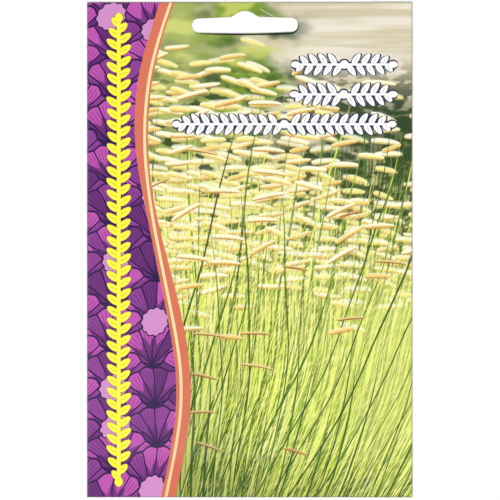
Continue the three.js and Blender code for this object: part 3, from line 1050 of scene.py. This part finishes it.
def curve_points(places, steps):
    """Points on a Bezier curve of any degree."""
    shares = np.linspace(0, 1, steps + 1)
    degree = len(places) - 1
    weights = [math.comb(degree, i) * shares**i * (1 - shares) ** (degree - i) for i in range(degree + 1)]
    return [tuple(p) for p in sum(np.outer(w, p) for w, p in zip(weights, places))]


def slot_outline(slot, steps=16):
    """The hanging slot: round-ended arms, a slightly bowed lower edge and a low hump."""
    arm, low, high, top = slot.arm_x, -slot.arm_bottom, slot.arm_top, slot.hump_top
    end = arm + (slot.half_length - arm) * 4 / 3
    side_x, round_x = slot.hump_foot * 0.72, slot.hump_foot * 0.52
    side_y = slot.shoulder + (top - slot.shoulder) * 0.15
    outline = []
    for curve in (
        ((-arm, low), (0, low - 2 * slot.bottom_bow), (arm, low)),
        ((arm, low), (end, low), (end, high), (arm, high)),
        ((slot.hump_foot, slot.shoulder), (side_x, side_y), (round_x, top), (0, top)),
        ((0, top), (-round_x, top), (-side_x, side_y), (-slot.hump_foot, slot.shoulder)),
        ((-arm, high), (-end, high), (-end, low), (-arm, low)),
    ):
        outline += [place for place in curve_points(curve, steps) if place not in outline]
    return outline


def slot_punch(slot, places):
    """A block with the slot's outline, tall enough to go through the packet."""
    turn_cos, turn_sin = math.cos(slot.turn), math.sin(slot.turn)
    middle_x, middle_y = -slot.from_middle, places.top - slot.from_top
    points = [
        (x * turn_cos - y * turn_sin + middle_x, x * turn_sin + y * turn_cos + middle_y, z)
        for z in (-2 * MM, 2 * MM)
        for x, y in slot_outline(slot)
    ]
    count = len(points) // 2
    walls = [(i, (i + 1) % count, (i + 1) % count + count, i + count) for i in range(count)]
    faces = [tuple(reversed(range(count))), tuple(range(count, 2 * count)), *walls]
    mesh = new_mesh("slot_punch", points, faces)
    mesh.polygons.foreach_set("material_index", [CUT] * len(faces))
    return add_object("slot_punch", mesh)


class PACKET_OT_make_sheet(bpy.types.Operator):
    """Fold, punch and print the sheet"""

    bl_idname = "packet.make_sheet"
    bl_label = "Make sheet"

    def execute(self, context):
        scene = context.scene
        sizes, inks = scene.packet_sheet_sizes, scene.packet_print_colours
        places = sheet_places(sizes)
        sheet = add_object("packet_sheet", sheet_mesh(sizes, places))
        punch = slot_punch(scene.packet_slot_sizes, places)
        for material in (
            front_print(inks),
            back_print(inks),
            plain_paper("plain_paper", screen(250, 249, 245), screen(238, 236, 228), 0.75, 0.4),
            plain_paper("cut_paper", screen(244, 243, 238), screen(214, 212, 206), 0.85, 0.12),
        ):
            sheet.data.materials.append(material)
            punch.data.materials.append(material)
        cut = sheet.modifiers.new("hanging slot", "BOOLEAN")
        cut.operation = "DIFFERENCE"
        cut.solver = "MANIFOLD"
        cut.object = punch
        before = len(sheet.data.polygons)
        made_plain(sheet)
        bpy.data.meshes.remove(punch.data)
        if len(sheet.data.polygons) == before:
            raise RuntimeError("the slot wasn't punched")
        sheet.data.shade_smooth()
        sheet.data.set_sharp_from_angle(angle=math.radians(SHARP_OVER))
        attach(sheet, "root")
        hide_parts("paper_sheet")
        return {"FINISHED"}


# Glue


class PACKET_OT_finish_glue(bpy.types.Operator):
    """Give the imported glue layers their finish"""

    bl_idname = "packet.finish_glue"
    bl_label = "Finish glue"

    def execute(self, context):
        glue = dried_glue()
        for name in ("top_seal", "bottom_seal", "seam_glue"):
            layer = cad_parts[name]
            layer.data.materials.clear()
            layer.data.materials.append(glue)
        return {"FINISHED"}


# Seeds

# A spindle's girth along its length, both as shares
GIRTH_PLACES = (0, 0.03, 0.1, 0.24, 0.4, 0.6, 0.78, 0.92, 1)
GIRTHS = (0, 0.3, 0.62, 0.9, 1, 0.86, 0.6, 0.28, 0)
RIDGE_DEPTH = 0.06
# Where the awns grow, from the body's middle over its length, and their angles to it
AWN_ROOT = 0.36
AWN_ANGLES = (-0.2, 0, 0.2)
# The husk's angle to the body, and its middle
HUSK_ANGLE, HUSK_PLACE = 0.16, (-1 * MM, 0.5 * MM, 0)
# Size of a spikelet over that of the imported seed, so that its ridges stay inside
SEED_FIT = 0.985


def spindle(full_length, radius, flatness, sides, rings, ridges):
    """Points and faces of a ridged body along X, pointed at both ends, with its middle at X 0."""
    along = np.linspace(0, 1, rings + 2)[1:-1]
    girth = np.interp(along, GIRTH_PLACES, GIRTHS) * radius
    angles = np.linspace(0, FULL_TURN, sides, endpoint=False)
    wave = 1 - RIDGE_DEPTH * (1 - np.cos(angles * ridges)) / 2
    points = [(-full_length / 2, 0, 0)]
    for share, size in zip(along, girth):
        points += [
            ((share - 0.5) * full_length, size * w * math.cos(a), size * w * math.sin(a) * flatness)
            for a, w in zip(angles, wave)
        ]
    points.append((full_length / 2, 0, 0))
    last = len(points) - 1
    ring_starts = [1 + i * sides for i in range(rings)]
    faces = []
    for i in range(sides):
        following = (i + 1) % sides
        faces.append((0, ring_starts[0] + following, ring_starts[0] + i))
        for low, high in zip(ring_starts, ring_starts[1:]):
            faces.append((low + i, low + following, high + following, high + i))
        faces.append((ring_starts[-1] + i, ring_starts[-1] + following, last))
    return np.array(points), faces


def turned(points, angle, shift):
    """Points turned about Z and then shifted."""
    turn_cos, turn_sin = math.cos(angle), math.sin(angle)
    turn = np.array([[turn_cos, -turn_sin, 0], [turn_sin, turn_cos, 0], [0, 0, 1]])
    return points @ turn.T + np.array(shift)


def spikelet_mesh(sizes):
    """One seed: a ridged body, a narrow husk along its side and three awns at its tip."""
    body = spindle(sizes.body_length, sizes.body_radius, sizes.flatness, sides=14, rings=12, ridges=7)
    husk_points, husk_faces = spindle(sizes.husk_length, sizes.husk_radius, 1, sides=8, rings=7, ridges=4)
    awn_points, awn_faces = spindle(sizes.awn_length, sizes.awn_radius, 1, sides=5, rings=4, ridges=1)
    from_root = awn_points + np.array((sizes.awn_length / 2, 0, 0))
    parts = [body, (turned(husk_points, HUSK_ANGLE, HUSK_PLACE), husk_faces)]
    for angle in AWN_ANGLES:
        parts.append((turned(from_root, angle, (sizes.body_length * AWN_ROOT, 0, 0)), awn_faces))
    points, faces = [], []
    for part_points, part_faces in parts:
        faces += [tuple(len(points) + i for i in face) for face in part_faces]
        points += part_points.tolist()
    mesh = new_mesh("spikelet", points, faces)
    solid = bmesh.new()
    solid.from_mesh(mesh)
    bmesh.ops.recalc_face_normals(solid, faces=solid.faces)
    solid.to_mesh(mesh)
    solid.free()
    mesh.shade_smooth()
    return mesh


def seed_places():
    """Middle, heading and reach along it of each packed seed, read from its solid."""
    for name, node in sorted(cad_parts.items()):
        if name.startswith("seed_"):
            points = np.array([v.co for v in node.data.vertices])
            middle = points.mean(axis=0)
            axis = np.linalg.svd(points - middle, full_matrices=False)[2][0]
            reach = (points - middle) @ axis
            if reach.max() < -reach.min():
                axis, reach = -axis, -reach
            yield middle, axis, reach


def seeds_tree():
    """Geometry nodes that set one spikelet on each point, turned and sized by its attributes."""
    tree = bpy.data.node_groups.new("seeds on points", "GeometryNodeTree")
    for name, kind in (("Geometry", "Geometry"), ("Spikelet", "Object"), ("Finish", "Material")):
        tree.interface.new_socket(name=name, in_out="INPUT", socket_type="NodeSocket" + kind)
    tree.interface.new_socket(name="Geometry", in_out="OUTPUT", socket_type="NodeSocketGeometry")
    entry = add_node(tree, "NodeGroupInput")
    places, spikelet, finish = [Amount(tree, socket) for socket in entry.outputs[:3]]

    def attribute(name, kind):
        inputs = {"Name": name}
        return result_of(tree, "GeometryNodeInputNamedAttribute", inputs, "Attribute", data_type=kind)

    rotation = result_of(tree, "FunctionNodeEulerToRotation", {0: attribute("turn", "FLOAT_VECTOR")})
    seed = result_of(tree, "GeometryNodeObjectInfo", {"Object": spikelet}, "Geometry")
    inputs = {"Points": places, "Instance": seed, "Rotation": rotation, "Scale": attribute("size", "FLOAT")}
    seeds = result_of(tree, "GeometryNodeInstanceOnPoints", inputs)
    seeds = result_of(tree, "GeometryNodeRealizeInstances", {"Geometry": seeds})
    seeds = result_of(tree, "GeometryNodeSetMaterial", {"Geometry": seeds, "Material": finish})
    feed(tree, add_node(tree, "NodeGroupOutput").inputs[0], seeds)
    return tree


class PACKET_OT_make_seeds(bpy.types.Operator):
    """Lay a fine spikelet where each packed seed is"""

    bl_idname = "packet.make_seeds"
    bl_label = "Make seeds"

    def execute(self, context):
        sizes = context.scene.packet_seed_sizes
        spikelet = add_object("spikelet", spikelet_mesh(sizes))
        whole = sizes.body_length * (0.5 + AWN_ROOT) + sizes.awn_length
        tail = sizes.body_length / 2
        points, turns, scales = [], [], []
        for middle, axis, reach in seed_places():
            size = (reach.max() - reach.min()) / whole
            points.append(middle + axis * (reach.min() + tail * size))
            turns.append((0, 0, math.atan2(axis[1], axis[0])))
            scales.append(size * SEED_FIT)
        mesh = new_mesh("seed_fill", points, [])
        mesh.attributes.new("turn", "FLOAT_VECTOR", "POINT").data.foreach_set("vector", np.ravel(turns))
        mesh.attributes.new("size", "FLOAT", "POINT").data.foreach_set("value", scales)
        seeds = add_object("seed_fill", mesh)
        layout = seeds.modifiers.new("seeds", "NODES")
        layout.node_group = seeds_tree()
        values = {"Spikelet": spikelet, "Finish": seed_straw()}
        for socket in layout.node_group.interface.items_tree:
            if socket.name in values:
                layout[socket.identifier] = values[socket.name]
        made_plain(seeds)
        if not seeds.data.polygons:
            raise RuntimeError("no seed was laid")
        bpy.data.meshes.remove(spikelet.data)
        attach(seeds, "root")
        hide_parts(*[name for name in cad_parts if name.startswith("seed_")])
        return {"FINISHED"}


# Stage

# The floor's radius and how far it lies below the packet
FLOOR_RADIUS, FLOOR_DROP = 6, 0.03 * MM
# Height of the packet's edges, at which the view has its width
EDGE_HEIGHT = 0.7 * MM


def soft_sky(brightness):
    """Even light from the sides that darkens overhead, so that gloss stays dark from above."""
    world = bpy.data.worlds.new("soft sky")
    world.use_nodes = True
    tree = world.node_tree
    height = split(result_of(tree, "ShaderNodeTexCoord", {}, "Generated"))[2]
    background = tree.nodes["Background"]
    feed(tree, background.inputs["Color"], (1, 1, 1))
    feed(tree, background.inputs["Strength"], rises(height, 0.99, 0.8, 0.1, 1) * brightness)
    return world


def add_lamp(name, settings, bearing, height, watts):
    """A square soft lamp at that bearing from +X and height over the floor, in degrees."""
    light = bpy.data.lights.new(name, "AREA")
    light.energy = watts
    light.size = settings.lamp_size
    lamp = add_object(name, light)
    turn, rise = math.radians(bearing), math.radians(height)
    way = Vector((math.cos(rise) * math.cos(turn), math.cos(rise) * math.sin(turn), math.sin(rise)))
    lamp.location = way * settings.lamp_distance
    lamp.rotation_euler = (-lamp.location).to_track_quat("-Z", "Y").to_euler()


def add_camera(settings):
    """A long lens straight above the packet, with +Y up in the picture."""
    view = bpy.data.cameras.new("camera")
    view.lens = settings.lens
    view.clip_start = 0.01
    view.clip_end = 20
    camera = add_object("camera", view)
    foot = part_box("paper_sheet")[0].z
    height = settings.view_width * settings.lens / view.sensor_width + (foot + EDGE_HEIGHT)
    camera.location = (settings.view_x, settings.view_y, height)
    bpy.context.scene.camera = camera


class PACKET_OT_make_stage(bpy.types.Operator):
    """Lay the floor and set the lights and the camera"""

    bl_idname = "packet.make_stage"
    bl_label = "Make stage"

    def execute(self, context):
        settings = context.scene.packet_stage
        disc = bmesh.new()
        bmesh.ops.create_circle(disc, cap_ends=True, segments=64, radius=FLOOR_RADIUS)
        bmesh.ops.translate(disc, verts=disc.verts, vec=(0, 0, -FLOOR_DROP))
        mesh = bpy.data.meshes.new("floor")
        disc.to_mesh(mesh)
        disc.free()
        floor_board = add_object("floor", mesh)
        mesh.materials.append(pale_floor())
        context.scene.world = soft_sky(settings.sky)
        add_lamp("key", settings, 232, 56, settings.key)
        add_lamp("back", settings, 48, 56, settings.back)
        add_lamp("fill_right", settings, 322, 54, settings.fill)
        add_lamp("fill_left", settings, 142, 54, settings.fill_left)
        add_camera(settings)
        context.scene.view_settings.view_transform = "Standard"
        return {"FINISHED"}


class PACKET_PT_panel(bpy.types.Panel):
    """Lists the packet's steps and settings"""

    bl_idname = "PACKET_PT_panel"
    bl_label = "Seed packet"
    bl_space_type = "VIEW_3D"
    bl_region_type = "UI"
    bl_category = "Packet"

    def draw(self, context):
        for operator in OPERATORS:
            self.layout.operator(operator.bl_idname)
        for name in SETTINGS:
            group = getattr(context.scene, name)
            box = self.layout.box()
            for setting in group.bl_rna.properties:
                if setting.identifier not in ("rna_type", "name"):
                    box.prop(group, setting.identifier)


SETTINGS = {
    "packet_sheet_sizes": PacketSheetSizes,
    "packet_slot_sizes": PacketSlotSizes,
    "packet_seed_sizes": PacketSeedSizes,
    "packet_print_colours": PacketPrintColours,
    "packet_stage": PacketStageSettings,
}
OPERATORS = (PACKET_OT_make_sheet, PACKET_OT_finish_glue, PACKET_OT_make_seeds, PACKET_OT_make_stage)
CLASSES = (*SETTINGS.values(), *OPERATORS, PACKET_PT_panel)


def register():
    for cls in CLASSES:
        bpy.utils.register_class(cls)
    for name, group in SETTINGS.items():
        setattr(bpy.types.Scene, name, bpy.props.PointerProperty(type=group))


def unregister():
    for name in SETTINGS:
        delattr(bpy.types.Scene, name)
    for cls in reversed(CLASSES):
        bpy.utils.unregister_class(cls)


def main():
    register()
    make_shared_effects()
    bpy.ops.packet.make_sheet()
    bpy.ops.packet.finish_glue()
    bpy.ops.packet.make_seeds()
    bpy.ops.packet.make_stage()


if __name__ == "__main__":
    main()
